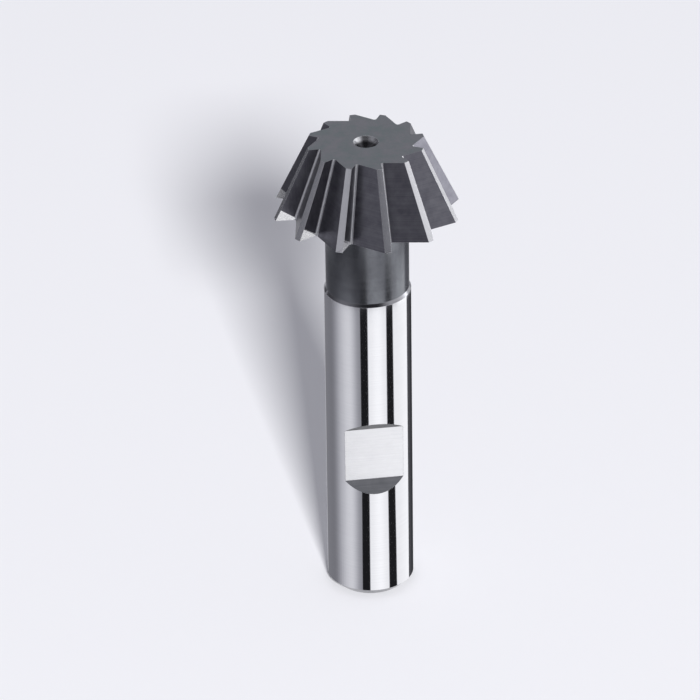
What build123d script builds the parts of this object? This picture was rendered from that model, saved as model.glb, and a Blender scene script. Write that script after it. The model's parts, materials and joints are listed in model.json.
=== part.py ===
from build123d import *
from build123d.topology import SkipClean
import os
from math import atan2, cos, degrees, radians, sin, sqrt, tan

# Straight-flute angle cutter on a cylindrical side-lock shank, one piece of high-speed steel.
# It stands on the shank's end, with +Z towards the toothed head and the clamping flat facing -Y.
# All lengths are in millimetres and all angles in degrees.

os.makedirs("parts", exist_ok=True)

# Shank
shank_diameter = 12.0
shank_length = 46.6
end_chamfer = 1.2

# Clamping flat, milled across the shank, with sloping end walls
flat_length = 8.0
flat_depth = 1.6
flat_center_height = 22.5
flat_wall_angle = 45.0

# Neck, joined to the shank by a short cone and to the head by a fillet
neck_diameter = 11.5
neck_length = 12.2
shoulder_height = 0.45
neck_fillet = 0.5

# Head, widest at its underside and narrowing towards the free end
head_diameter = 25.6
head_height = 10.3
cutting_angle = 65.0

# Teeth, which cut when the head turns counter-clockwise as seen from its free end
tooth_count = 12
gullet_phase = 8.0
gullet_depth_large = 2.75
gullet_depth_small = 1.65
rake_lean = 8.0
root_offset = 0.15
root_radius = 0.3
land_width = 1.05

# Gash ground into the lower end of each cutting face
gash_edge_height = 1.6
gash_root_height = 0.3
gash_tilt = 4.0

# Centre holes in both ends
center_pilot_diameter = 1.6
center_mouth_diameter = 3.45
center_cone_angle = 60.0
center_hole_depth = 3.6

# How far a cutting solid runs past the surface that it cuts
overrun = 0.5

# Derived radii and heights
shank_radius = shank_diameter / 2
neck_radius = neck_diameter / 2
head_radius = head_diameter / 2
head_bottom = shank_length + neck_length
overall_length = head_bottom + head_height
edge_inset_per_height = 1 / tan(radians(cutting_angle))
tip_radius = head_radius - head_height * edge_inset_per_height
root_radius_large = head_radius - gullet_depth_large
root_radius_small = tip_radius - gullet_depth_small
root_inset_per_height = (root_radius_large - root_radius_small) / head_height
gullet_direction = Vector(-root_inset_per_height, 0, 1)


def head_radius_at(height):
    """Radius over the cutting edges at a height above the underside."""
    return head_radius - height * edge_inset_per_height


def root_at(height):
    """Bottom of the gullet, where its two walls meet, at a height above the underside."""
    return Vector(root_radius_large - height * root_inset_per_height, root_offset)


def meet_circle(start, angle, radius):
    """Point where a ray from start, inside the circle, leaves the circle about the axis."""
    ray = Vector(cos(radians(angle)), sin(radians(angle)))
    along = start.dot(ray)
    reach = -along + sqrt(along**2 + radius**2 - start.dot(start))
    return start + ray * reach


def edge_at(height):
    """Cutting edge, where the cutting face meets the head's cone, at a height above the underside."""
    return meet_circle(root_at(height), -rake_lean, head_radius_at(height))


def center_hole():
    """Centre hole into the part at each active location."""
    return CounterSinkHole(
        radius=center_pilot_diameter / 2,
        counter_sink_radius=center_mouth_diameter / 2,
        depth=center_hole_depth,
        counter_sink_angle=center_cone_angle,
    )


# The gullet's two walls: the cutting face, and the back of the next tooth up to the heel of its land
face_direction = Vector(cos(radians(rake_lean)), -sin(radians(rake_lean)))
large_edge = edge_at(0)
pitch_angle = 360 / tooth_count
land_angle = degrees(land_width / head_radius)
heel_angle = degrees(atan2(large_edge.Y, large_edge.X)) + pitch_angle - land_angle
large_heel = Vector(head_radius * cos(radians(heel_angle)), head_radius * sin(radians(heel_angle)))
back_wall = large_heel - root_at(0)
back_angle = degrees(atan2(back_wall.Y, back_wall.X))

# One gullet: a wedge with a rounded root, swept along the line of the root
with BuildPart() as gullet:
    start_root = root_at(-overrun)
    face_end = start_root + face_direction * head_radius
    back_end = start_root + back_wall.normalized() * head_radius
    with BuildSketch(Plane.XY.offset(head_bottom - overrun)):
        with BuildLine():
            Polyline(
                (start_root.X, start_root.Y),
                (face_end.X, face_end.Y),
                (back_end.X, back_end.Y),
                close=True,
            )
        make_face()
    extrude(amount=(head_height + 2 * overrun) * gullet_direction.length, dir=gullet_direction)
    root_edge = gullet.edges().filter_by(Axis((0, 0, 0), gullet_direction)).sort_by(Axis.X)[0]
    fillet(root_edge, radius=root_radius)

# One gash: a slab beside the cutting face, tilted into it about a line from the root's round to the edge
with BuildPart() as gash:
    root_round_reach = root_radius / tan(radians((back_angle + rake_lean) / 2))
    inner_end = root_at(gash_root_height) + face_direction * (root_round_reach / 2)
    outer_end = edge_at(gash_edge_height)
    gash_start = inner_end + Vector(0, 0, head_bottom + gash_root_height)
    gash_end = outer_end + Vector(0, 0, head_bottom + gash_edge_height)
    gash_line = gash_end - gash_start
    gash_normal = gullet_direction.cross(face_direction).rotate(Axis((0, 0, 0), gash_line), -gash_tilt)
    gash_length = gash_line.length + gash_edge_height
    gash_drop = gullet_depth_large
    with BuildSketch(Plane(origin=gash_start, x_dir=gash_line, z_dir=gash_normal)):
        Rectangle(gash_length, gash_drop, align=(Align.MIN, Align.MIN))
    extrude(amount=gash_drop * sin(radians(gash_tilt)) + overrun)

# Lower shank, up to the height of the holder's clamping screw, from which the shank is measured
with BuildPart() as lower_shank:
    Cylinder(shank_radius, flat_center_height, align=(Align.CENTER, Align.CENTER, Align.MIN))
    chamfer(lower_shank.edges().filter_by(GeomType.CIRCLE).sort_by(Axis.Z)[0], length=end_chamfer)
    with Locations(Plane.XY.rotated((180, 0, 0))):
        center_hole()

with BuildPart() as cutter:
    # Upper shank, shoulder cone, neck and the blank of the head
    with BuildSketch(Plane.XZ):
        with BuildLine():
            Polyline(
                (0, flat_center_height),
                (shank_radius, flat_center_height),
                (shank_radius, shank_length),
                (neck_radius, shank_length + shoulder_height),
                (neck_radius, head_bottom),
                (head_radius, head_bottom),
                (tip_radius, overall_length),
                (0, overall_length),
                close=True,
            )
        make_face()
    revolve(axis=Axis.Z)
    underside_edges = cutter.edges().filter_by(GeomType.CIRCLE).group_by(Axis.Z)[-2]
    fillet(underside_edges.sort_by(SortBy.RADIUS)[0], radius=neck_fillet)

    # Teeth, left standing between the gullets
    with PolarLocations(0, tooth_count, start_angle=gullet_phase):
        add(gullet.part, mode=Mode.SUBTRACT)
        add(gash.part, mode=Mode.SUBTRACT)

    # Centre hole in the free end
    with Locations(Plane.XY.offset(overall_length)):
        center_hole()

    # Lower shank and clamping flat, with a line kept round the shank at the clamping screw's height
    with SkipClean():
        add(lower_shank.part)
        with BuildSketch(Plane.YZ):
            flat_floor = shank_radius - flat_depth
            wall_run = (flat_depth + overrun) / tan(radians(flat_wall_angle))
            with BuildLine():
                Polyline(
                    (-flat_floor, flat_center_height - flat_length / 2),
                    (-flat_floor, flat_center_height + flat_length / 2),
                    (-shank_radius - overrun, flat_center_height + flat_length / 2 + wall_run),
                    (-shank_radius - overrun, flat_center_height - flat_length / 2 - wall_run),
                    close=True,
                )
            make_face()
        extrude(amount=shank_radius, both=True, mode=Mode.SUBTRACT)

cutter.part.label = "cutter"
export_step(cutter.part, "parts/cutter.step")

small_edge = edge_at(head_height)
small_heel = meet_circle(root_at(head_height), back_angle, tip_radius)
small_land = (
    radians(pitch_angle)
    + atan2(small_edge.Y, small_edge.X)
    - atan2(small_heel.Y, small_heel.X)
) * tip_radius
print(f"overall length {overall_length:.2f}, free end {2 * tip_radius:.2f} across")
print(f"land width {land_width:.2f} at the underside and {small_land:.2f} at the free end")
print(f"volume {cutter.part.volume:.1f} cubic millimetres")
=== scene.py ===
import json
from itertools import pairwise
from math import cos, hypot, pi, radians, sin

import bpy
from mathutils import Matrix, Vector


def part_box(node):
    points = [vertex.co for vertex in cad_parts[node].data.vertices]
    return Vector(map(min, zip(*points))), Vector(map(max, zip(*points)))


# Lengths are in millimetres, angles in degrees and lamp powers in watts.
MM = 0.001
MICROMETRE = 0.001 * MM

# Steel finishes: radius of the edges to the eye, colour that edges take as partly wear and partly a painted
# highlight, and colour towards which the centre hole's cone darkens at its bottom
EDGE_ROUND = 0.05
BEVEL_SAMPLES = 8
RUBBED_AND_HIGHLIGHT_STEEL = (0.6, 0.6, 0.62)
DARKENED_HOLE_STEEL = (0.08, 0.08, 0.086)

# Cosines between a surface and its rounded edge at which the edge lightening, partly wear and partly painted
# highlight, starts and is full
RUB_AND_HIGHLIGHT_START = 0.995
RUB_AND_HIGHLIGHT_FULL = 0.9

# Noises of the tool lines and of the patches: scale per millimetre, detail and roughness
LINE_NOISE = (1.0, 3.0, 0.6)
PATCH_NOISE = (0.6, 4.0, 0.6)
MILLED_WAVER = 0.3

# Part of the noise's range that spans a finish's two tones, and its two roughnesses
TONE_SPAN = (0.35, 0.65)
ROUGHNESS_SPAN = (0.3, 0.7)

# How tool lines are packed along X, Y and Z
LINE_STRETCH = {
    "around": (0.03, 0.03, 7.0),
    "milled": (0.1, 0.1, 5.0),
    "along": (7.0, 7.0, 0.1),
    "none": (3.0, 3.0, 3.0),
}

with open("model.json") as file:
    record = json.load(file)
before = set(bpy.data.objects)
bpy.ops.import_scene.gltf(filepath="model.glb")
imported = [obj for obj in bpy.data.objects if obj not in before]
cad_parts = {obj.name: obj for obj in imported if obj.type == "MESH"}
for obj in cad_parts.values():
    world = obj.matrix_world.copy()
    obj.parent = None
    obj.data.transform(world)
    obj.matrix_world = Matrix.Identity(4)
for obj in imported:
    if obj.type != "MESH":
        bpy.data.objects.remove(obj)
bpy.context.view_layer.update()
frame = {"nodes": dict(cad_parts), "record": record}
cutter = frame["nodes"]["cutter"]
mounts = {mount["name"]: mount for mount in frame["record"]["mounts"]}

# Sizes of the part, from the frame
total_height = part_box("cutter")[1].z / MM
shank_radius = mounts["shank"]["dims"]["r_mm"]
shank_top = mounts["shank"]["pos_m"][2] / MM + mounts["shank"]["dims"]["length_mm"] / 2
shank_foot = mounts["shank"]["pos_m"][2] / MM - mounts["shank"]["dims"]["length_mm"] / 2
flat_distance = -mounts["clamping_flat"]["pos_m"][1] / MM

# The neck and the head, as the part has them, and the upward part of the normal of the head's cone
neck_bottom = 47.05
head_bottom = 58.8
cutting_angle = 65.0
cone_slope = cos(radians(cutting_angle))
hole_mouth_radius = 1.73

# Depths in the centre hole at which its cone is fully darkened and at its own tone
hole_darkening_depths = (0.75, 0.4)

# How faces are told apart: the least upward part of a level face's normal and of a sloping one's, the least
# forward part of the flat's and of its walls', and how far a face may be from the flat or the head's bottom
level_slope = 0.99
upright_slope = 0.1
flat_facing = 0.999
wall_slope = 0.6
flat_margin = 0.05
underside_margin = 1.0

# Upward parts of the normals of a tooth's surfaces, which are the same on every tooth
back_slope = 0.324
face_slope = 0.05
gash_slope_limit = 0.03
slope_margin = 0.003
land_margin = 0.02

# Camera of the photograph
view_azimuth = -8.25
view_elevation = 30.09
view_roll = -0.742
view_distance = 912.9
view_aim = Vector((-2.487, 0.361, 36.566))
lens_length = 340.7
sensor_width = 36.0
nearest_shown = 10.0
farthest_shown = 20000.0

# Studio, as the tool mirrors it. Azimuths are from the camera's, positive to its right.
# The walls by azimuth and brightness: the low one, the high one and the ceiling blend at these elevations
low_wall_end = 20
high_wall_start = 27
high_wall_end = 38
ceiling_start = 52
low_wall = [
    (-180, 0.9), (-145, 0.8), (-125, 0.12), (-102, 0.12), (-85, 0.25), (-60, 0.5), (-35, 0.56), (-8, 0.25),
    (26, 0.26), (50, 0.9), (80, 0.95), (100, 1.5), (135, 1.2), (180, 0.9),
]
high_wall = [
    (-180, 1.1), (-140, 0.8), (-95, 0.2), (-40, 0.15), (-15, 0.03), (35, 0.03), (60, 0.5), (80, 1.1),
    (135, 1.0), (180, 1.1),
]
ceiling = 0.85
plain_light = 0.35

# Strips on the floor round the tool, by azimuth of the shank's wall that mirrors them, and brightness.
# Where a strip has two azimuths, the first is that near the foot and the second that near the shank's top.
shank_strips = [
    (-90, 0.75), (-79, 0.21), (-57, -59, 0.2), (-27, 0.7), (-11.6, -11, 0.3), (-10.8, -10.2, 0.012),
    (-1.3, 0.012), (0, 0.97), (13, 1.1), (25.2, 23.9, 0.97), (26.4, 25.1, 0.014), (37.5, 33.6, 0.014),
    (38.7, 34.8, 0.98), (62.5, 62, 1.08), (63.5, 63, 0.08), (81, 0.03), (90, 0.75),
]
neck_strips = [
    (-90, 1.1), (-78, 0.24), (-60, 0.15), (-30, 0.34), (-14, 0.14), (-3, 0.06), (1, 0.33), (8, 0.57),
    (14, 0.6), (19, 0.61), (24, 0.49), (27, 0.13), (33, 0.12), (38, 0.44), (47, 1.4), (60, 1.5), (65, 0.35),
    (78, 0.24), (90, 1.1),
]
gash_strips = [
    (-90, 0.7), (-58, 0.5), (-42, 0.05), (-16, 0.06), (-5, 0.6), (0, 1.2), (10, 1.2), (16, 0.6), (26, 0.9),
    (31, 1.6), (38, 1.6), (43, 0.8), (51, 0.2), (70, 0.2), (90, 0.7),
]
tooth_strips = [
    (-90, 0.7), (-70, 0.5), (-40, 0.2), (-16, 0.2), (0, 0.6), (14, 0.6), (26, 0.6), (33, 1.0), (44, 1.1),
    (52, 0.3), (70, 0.4), (90, 0.7),
]
far_strips = [
    (-90, 1.0), (-79, 0.16), (-63, 0.1), (-52, 0.4), (-20, 0.4), (10, 0.6), (30, 0.9), (90, 1.0),
]

# Rings of strips: start and end from the shank's wall, the strips, and the share of their tone at the end
floor_rings = {
    "shank_strips": (0.0, 82.0, shank_strips, 1.0),
    "neck_strips": (82.0, 99.0, neck_strips, 0.36),
    "gash_strips": (99.0, 120.0, gash_strips, 1.0),
    "tooth_strips": (120.0, 250.0, tooth_strips, 1.0),
    "far_strips": (250.0, 900.0, far_strips, 1.0),
}
strip_level = 0.02
strip_steps = 8
ring_steps = 6

# Card that lights the lands at the right, in reflections alone
side_card = {"azimuths": (97, 118), "distance": 250.0, "heights": (0.0, 75.0), "brightness": 3.6}

# Lamp that lights the floor and all that isn't mirrored
key_lamp = {"azimuth": view_azimuth + 8.0, "elevation": 30.0, "distance": 6000, "size": 800, "power": 462}

# Floor, from the middle to its edge
floor_reach = 3000.0
floor_color = (0.88, 0.88, 0.905)

# Red and green of a grey light, its blue where it is dark, and the blue's loss up to white
TINT_RED = 0.985
TINT_GREEN = 0.99
TINT_BLUE = 1.12
TINT_BLUE_LOSS = 0.11


def toward(azimuth, elevation=0.0):
    """Unit vector at an azimuth from -Y towards +X and an elevation above the floor."""
    a, e = radians(azimuth), radians(elevation)
    return Vector((sin(a) * cos(e), -cos(a) * cos(e), sin(e)))


def add_camera():
    data = bpy.data.cameras.new("camera")
    data.lens = lens_length
    data.sensor_width = sensor_width
    data.clip_start = nearest_shown * MM
    data.clip_end = farthest_shown * MM
    camera = bpy.data.objects.new("camera", data)
    bpy.context.scene.collection.objects.link(camera)
    back = toward(view_azimuth, view_elevation)
    level_right = Vector((0, 0, 1)).cross(back).normalized()
    level_up = back.cross(level_right)
    roll = radians(view_roll)
    right = level_right * cos(roll) + level_up * sin(roll)
    up = level_up * cos(roll) - level_right * sin(roll)
    place = (view_aim + back * view_distance) * MM
    camera.matrix_world = Matrix.Translation(place) @ Matrix((right, up, back)).transposed().to_4x4()
    bpy.context.scene.camera = camera


class Nodes:
    """A node tree, with short calls for the nodes that the finishes and the stage use."""

    def __init__(self, tree):
        self.tree = tree

    def node(self, kind, inputs=None, **settings):
        made = self.tree.nodes.new(kind)
        for key, value in settings.items():
            setattr(made, key, value)
        for key, value in (inputs or {}).items():
            self.feed(made.inputs[key], value)
        return made

    def feed(self, socket, value):
        if isinstance(value, bpy.types.NodeSocket):
            self.tree.links.new(value, socket)
        else:
            socket.default_value = value

    def math(self, operation, a, b=0.0):
        return self.node("ShaderNodeMath", {0: a, 1: b}, operation=operation).outputs[0]

    def scaled(self, vector, factors):
        made = self.node("ShaderNodeVectorMath", {0: vector, 1: factors}, operation="MULTIPLY")
        return made.outputs["Vector"]

    def position(self):
        """Place on the part, in millimetres."""
        return self.scaled(self.node("ShaderNodeTexCoord").outputs["Object"], (1 / MM,) * 3)

    def noise(self, vector, scale, detail, roughness, distortion=0.0):
        inputs = {"Vector": vector, "Scale": scale, "Detail": detail, "Roughness": roughness}
        inputs["Distortion"] = distortion
        return self.node("ShaderNodeTexNoise", inputs).outputs["Fac"]

    def spread(self, value, low, high, to_low, to_high):
        """Value carried from the range low to high over to another range, and held at its ends."""
        inputs = {"Value": value, "From Min": low, "From Max": high, "To Min": to_low, "To Max": to_high}
        return self.node("ShaderNodeMapRange", inputs).outputs["Result"]

    def blend(self, amount, first, second):
        """Colour from first at 0 to second at 1. Inputs 6 and 7 and output 2 are the node's colours."""
        inputs = {0: amount, 6: first, 7: second}
        return self.node("ShaderNodeMix", inputs, data_type="RGBA").outputs[2]


def new_material(name):
    """An empty material, and its nodes."""
    material = bpy.data.materials.new(name)
    material.use_nodes = True
    material.node_tree.nodes.clear()
    return material, Nodes(material.node_tree)


def steel(name, dark, light, roughness, lines="around", depth=0.3, cloud=0.5, rubbed_and_highlighted=0.0, edge=EDGE_ROUND,
          rub_and_highlight_color=RUBBED_AND_HIGHLIGHT_STEEL, metal=1.0, deep=None):
    """A steel finish: fine tool lines, patches between two tones, and edges that are rounded and lightened,
    partly as wear and partly as a painted highlight.

    Roughness goes from its first value to its second. Lines is a key of LINE_STRETCH. Depth is the height of
    the lines in micrometres, cloud the share of the patches in the tone, and the edge share how much of the
    edge colour the edges take, partly as wear and partly as a painted highlight. An edge of None leaves them
    sharp and unlightened. Deep gives two heights, from fully darkened up to the finish's own tone.
    """
    material, nodes = new_material(name)
    place = nodes.position()
    waver = MILLED_WAVER if lines == "milled" else 0.0
    fine = nodes.noise(nodes.scaled(place, LINE_STRETCH[lines]), *LINE_NOISE, waver)
    patches = nodes.noise(place, *PATCH_NOISE)
    fine_share = nodes.math("MULTIPLY", fine, 1 - cloud)
    amount = nodes.math("ADD", fine_share, nodes.math("MULTIPLY", patches, cloud))
    color = nodes.blend(nodes.spread(amount, *TONE_SPAN, 0.0, 1.0), (*dark, 1), (*light, 1))
    bump_inputs = {"Strength": 1.0, "Distance": depth * MICROMETRE, "Height": fine}
    if edge:
        bevel = nodes.node("ShaderNodeBevel", {"Radius": edge * MM}, samples=BEVEL_SAMPLES)
        rounded = bevel.outputs["Normal"]
        bump_inputs["Normal"] = rounded
        # Edges take the edge colour: partly wear of the scale, partly a painted highlight along the edges
        if rubbed_and_highlighted:
            true_normal = nodes.node("ShaderNodeNewGeometry").outputs["Normal"]
            dot_inputs = {0: rounded, 1: true_normal}
            turned = nodes.node("ShaderNodeVectorMath", dot_inputs, operation="DOT_PRODUCT")
            rub_and_highlight_mask = nodes.spread(turned.outputs["Value"], RUB_AND_HIGHLIGHT_START, RUB_AND_HIGHLIGHT_FULL, 0.0, rubbed_and_highlighted)
            color = nodes.blend(rub_and_highlight_mask, color, (*rub_and_highlight_color, 1))
    if deep:
        height = nodes.node("ShaderNodeSeparateXYZ", {0: place}).outputs["Z"]
        # Darker towards the bottom of the centre hole
        color = nodes.blend(nodes.spread(height, *deep, 1.0, 0.0), color, (*DARKENED_HOLE_STEEL, 1))
    rough = nodes.spread(fine, *ROUGHNESS_SPAN, *roughness)
    bump = nodes.node("ShaderNodeBump", bump_inputs).outputs["Normal"]
    inputs = {"Base Color": color, "Metallic": metal, "Roughness": rough, "Normal": bump}
    surface = nodes.node("ShaderNodeBsdfPrincipled", inputs)
    nodes.node("ShaderNodeOutputMaterial", {"Surface": surface.outputs[0]})
    return material


def make_finishes():
    """One material for each kind of surface of the tool."""
    bright = (0.62, 0.62, 0.65), (0.76, 0.76, 0.79)
    oxide = (0.100, 0.098, 0.118), (0.162, 0.161, 0.182)
    blued = (0.096, 0.114, 0.124), (0.127, 0.125, 0.144)
    hole_darkening = tuple(total_height - depth for depth in hole_darkening_depths)
    return {
        "shank": steel(
            "ground_shank", (0.82, 0.82, 0.845), (0.87, 0.87, 0.89), (0.05, 0.08), depth=0.05, cloud=0.3,
        ),
        "chamfer": steel("turned_chamfer", (0.26, 0.26, 0.275), (0.33, 0.33, 0.345), (0.18, 0.26), depth=0.5),
        "shank_end": steel("ground_end", *bright, (0.22, 0.3), depth=0.5),
        # The flat's edges are painted near-white: a painted highlight along the flat's edges
        "flat": steel(
            "milled_flat", (0.83, 0.83, 0.855), (0.97, 0.97, 0.985), (0.28, 0.4), "milled", 1.0, 0.2,
            rubbed_and_highlighted=0.8, edge=0.12, rub_and_highlight_color=(0.99, 0.99, 0.99),
        ),
        # The flat's end walls are one milled finish: a lit copy for the wall facing up, and a darker
        # painted-shade copy for the wall facing down
        "wall_facing_up_painted_light": steel(
            "milled_wall_facing_up_painted_light", (0.16, 0.165, 0.178), (0.235, 0.237, 0.253), (0.3, 0.4), "milled", 0.8, 0.4,
        ),
        "wall_facing_down_painted_shade": steel(
            "milled_wall_facing_down_painted_shade", (0.07, 0.07, 0.078), (0.12, 0.12, 0.13), (0.3, 0.4), "milled", 0.8,
        ),
        "neck": steel(
            "tempered_neck", (0.2, 0.205, 0.225), (0.248, 0.258, 0.277), (0.16, 0.22), depth=0.2, cloud=0.7,
        ),
        "shoulder": steel(
            "turned_shoulder", (0.28, 0.28, 0.3), (0.345, 0.345, 0.365), (0.12, 0.18), depth=0.3,
        ),
        "top": steel("tempered_top", *blued, (0.32, 0.42), "none", 0.4, 0.8, rubbed_and_highlighted=0.3, metal=0.95),
        "underside": steel("tempered_underside", *oxide, (0.4, 0.5), "none", 0.4, 0.7, rubbed_and_highlighted=0.3, metal=0.95),
        "back": steel("tempered_tooth_back", *oxide, (0.28, 0.38), "around", 0.3, 0.6, rubbed_and_highlighted=0.35, metal=0.95),
        "land": steel(
            "ground_land", (0.6, 0.6, 0.625), (0.68, 0.68, 0.705), (0.14, 0.2), "along", 0.1, rubbed_and_highlighted=0.2,
        ),
        "face": steel(
            "tempered_cutting_face", *oxide, (0.28, 0.38), "along", 0.2, 0.6, rubbed_and_highlighted=0.35, metal=0.95,
        ),
        "root": steel(
            "ground_gullet_root", (0.5, 0.5, 0.52), (0.6, 0.6, 0.62), (0.28, 0.36), "along", 0.05, edge=None,
        ),
        "gash": steel(
            "ground_gash", (0.84, 0.84, 0.85), (0.95, 0.95, 0.955), (0.16, 0.22), "along", 0.1, metal=0.92,
        ),
        "cone": steel(
            "ground_center_cone", (0.56, 0.56, 0.58), (0.68, 0.68, 0.7), (0.2, 0.28),
            depth=0.2, deep=hole_darkening,
        ),
        "pilot": steel("drilled_pilot", (0.2, 0.2, 0.21), (0.3, 0.3, 0.3), (0.4, 0.5), depth=0.5),
    }


def surface_of(center, normal):
    """Which kind of surface a face of the cutter belongs to, from its middle and normal."""
    rise = abs(normal.z)
    level = rise > level_slope
    if hypot(center.x, center.y) < hole_mouth_radius:
        return "cone" if rise > upright_slope and not level else "pilot"
    if level and center.z > head_bottom + underside_margin:
        return "top"
    if level and center.z > head_bottom - underside_margin:
        return "underside"
    if level:
        return "shank_end"
    if center.z > head_bottom:
        return tooth_surface(normal.z)
    if center.z > shank_top:
        return "neck" if center.z > neck_bottom else "shoulder"
    if normal.y < -flat_facing and abs(center.y + flat_distance) < flat_margin:
        return "flat"
    if normal.y < -wall_slope and rise > wall_slope and center.z > shank_foot:
        # Painted light and shade: the wall facing up takes the lighter copy, the wall facing down the darker
        # one
        return "wall_facing_up_painted_light" if normal.z > 0 else "wall_facing_down_painted_shade"
    return "chamfer" if center.z < shank_foot else "shank"


def tooth_surface(slope):
    """Which surface of a tooth it is, from the upward part of its normal."""
    if abs(slope - cone_slope) < land_margin:
        return "land"
    if abs(slope - back_slope) < slope_margin:
        return "back"
    if abs(slope - face_slope) < slope_margin:
        return "face"
    return "gash" if slope < gash_slope_limit else "root"


def dress_cutter():
    finishes = make_finishes()
    names = list(finishes)
    cutter.data.materials.clear()
    for name in names:
        cutter.data.materials.append(finishes[name])
    for polygon in cutter.data.polygons:
        kind = surface_of(Vector(polygon.center) / MM, polygon.normal)
        polygon.material_index = names.index(kind)


def paper(name, color):
    """A matt stage material."""
    material, nodes = new_material(name)
    surface = nodes.node("ShaderNodeBsdfDiffuse", {"Color": (*color, 1)})
    nodes.node("ShaderNodeOutputMaterial", {"Surface": surface.outputs[0]})
    return material


def glow(name, color=None):
    """A light-giving stage material that isn't sampled as a lamp, in a colour or in the mesh's own tones."""
    material, nodes = new_material(name)
    if color is None:
        color = nodes.node("ShaderNodeAttribute", attribute_name="tone").outputs["Color"]
    surface = nodes.node("ShaderNodeEmission", {"Color": color, "Strength": 1.0})
    nodes.node("ShaderNodeOutputMaterial", {"Surface": surface.outputs[0]})
    material.cycles.emission_sampling = "NONE"
    return material


def add_mesh(name, vertices, faces, material):
    mesh = bpy.data.meshes.new(name)
    mesh.from_pydata([tuple(v * MM for v in vertex) for vertex in vertices], [], faces)
    mesh.materials.append(material)
    made = bpy.data.objects.new(name, mesh)
    bpy.context.scene.collection.objects.link(made)
    return made


def add_floor():
    reach = floor_reach
    corners = [(-reach, -reach, 0), (reach, -reach, 0), (reach, reach, 0), (-reach, reach, 0)]
    add_mesh("floor", corners, [(0, 1, 2, 3)], paper("floor_paper", floor_color))


def add_world():
    """Walls of the studio, which the tool mirrors, and a plain light for all else."""
    world = bpy.data.worlds.new("world")
    bpy.context.scene.world = world
    world.use_nodes = True
    nodes = Nodes(world.node_tree)
    background = world.node_tree.nodes["Background"]
    direction = nodes.node("ShaderNodeTexCoord").outputs["Generated"]
    way = nodes.node("ShaderNodeSeparateXYZ", {0: direction}).outputs
    turn = nodes.math("ARCTAN2", way["X"], nodes.math("MULTIPLY", way["Y"], -1.0))
    turn = nodes.math("SUBTRACT", turn, radians(view_azimuth))
    turn = nodes.math("FRACT", nodes.math("ADD", nodes.math("DIVIDE", turn, 2 * pi), 0.5))
    walls = nodes.blend(
        nodes.spread(way["Z"], sin(radians(low_wall_end)), sin(radians(high_wall_start)), 0.0, 1.0),
        azimuth_ramp(nodes, turn, low_wall),
        azimuth_ramp(nodes, turn, high_wall),
    )
    rise = nodes.spread(way["Z"], sin(radians(high_wall_end)), sin(radians(ceiling_start)), 0.0, 1.0)
    seen = nodes.blend(rise, walls, tinted(ceiling))
    glossy = nodes.node("ShaderNodeLightPath").outputs["Is Glossy Ray"]
    nodes.feed(background.inputs["Color"], nodes.blend(glossy, tinted(plain_light), seen))
    background.inputs["Strength"].default_value = 1.0


def tinted(brightness):
    """A near-neutral colour that is cooler where it is darker."""
    blue = TINT_BLUE - TINT_BLUE_LOSS * min(brightness, 1)
    return (brightness * TINT_RED, brightness * TINT_GREEN, brightness * blue, 1)


def azimuth_ramp(nodes, turn, wall):
    """Brightness of a wall by azimuth from the camera's, -180 to 180."""
    ramp = nodes.node("ShaderNodeValToRGB", {"Fac": turn})
    elements = ramp.color_ramp.elements
    while len(elements) < len(wall):
        elements.new(0.5)
    for element, (azimuth, brightness) in zip(elements, wall):
        element.position = azimuth / 360 + 0.5
        element.color = tinted(brightness)
    return ramp.outputs["Color"]


def show_to_gloss_only(card):
    card.visible_camera = False
    card.visible_diffuse = False
    card.visible_transmission = False
    card.visible_shadow = False


def add_floor_strips(name, start, end, strips, fade):
    """A ring of strips on the floor: each runs the way in which the camera's rays leave the upright shank."""
    # A strip with one azimuth has it at the foot and at the top
    strips = [(strip[0], strip[-2], strip[-1]) for strip in strips]
    lines = []
    for (foot_a, top_a, tone_a), (foot_b, top_b, tone_b) in pairwise(strips):
        for step in range(strip_steps):
            share = step / strip_steps
            soft = (1 - cos(pi * share)) / 2
            foot = foot_a + (foot_b - foot_a) * share
            top = top_a + (top_b - top_a) * share
            lines.append((foot, top, tone_a + (tone_b - tone_a) * soft))
    lines.append(strips[-1])
    vertices, tones, faces = [], [], []
    for foot, top, tone in lines:
        for ring in range(ring_steps + 1):
            azimuth = foot + (top - foot) * ring / ring_steps
            reach = start + (end - start) * ring / ring_steps
            wall = toward(view_azimuth + azimuth) * shank_radius
            vertices.append(wall + toward(view_azimuth + 2 * azimuth) * reach + Vector((0, 0, strip_level)))
            tones += tinted(tone * (1 + (fade - 1) * ring / ring_steps))
    for line in range(len(lines) - 1):
        for ring in range(ring_steps):
            first = line * (ring_steps + 1) + ring
            faces.append((first, first + 1, first + ring_steps + 2, first + ring_steps + 1))
    card = add_mesh(name, vertices, faces, glow(name))
    layer = card.data.color_attributes.new("tone", "FLOAT_COLOR", "POINT")
    layer.data.foreach_set("color", tones)
    show_to_gloss_only(card)


def add_card(name, azimuths, distance, heights, brightness):
    """An upright lit card beside the tool."""
    left, right = (toward(view_azimuth + azimuth) * distance for azimuth in azimuths)
    low, high = (Vector((0, 0, height)) for height in heights)
    corners = [left + low, right + low, right + high, left + high]
    show_to_gloss_only(add_mesh(name, corners, [(0, 1, 2, 3)], glow(name, tinted(brightness))))


def add_softbox(name, azimuth, elevation, distance, size, power):
    """A square lamp that faces the foot of the tool and doesn't show in reflections."""
    data = bpy.data.lights.new(name, "AREA")
    data.shape = "SQUARE"
    data.size = size * MM
    data.energy = power
    light = bpy.data.objects.new(name, data)
    bpy.context.scene.collection.objects.link(light)
    way = toward(azimuth, elevation)
    light.location = way * distance * MM
    light.rotation_euler = way.to_track_quat("Z", "Y").to_euler()
    light.visible_glossy = False


add_camera()
dress_cutter()
add_floor()
add_world()
for ring_name, ring in floor_rings.items():
    add_floor_strips(ring_name, *ring)
add_card("side_light", **side_card)
add_softbox("key_light", **key_lamp)

bpy.context.scene.view_settings.view_transform = "Standard"
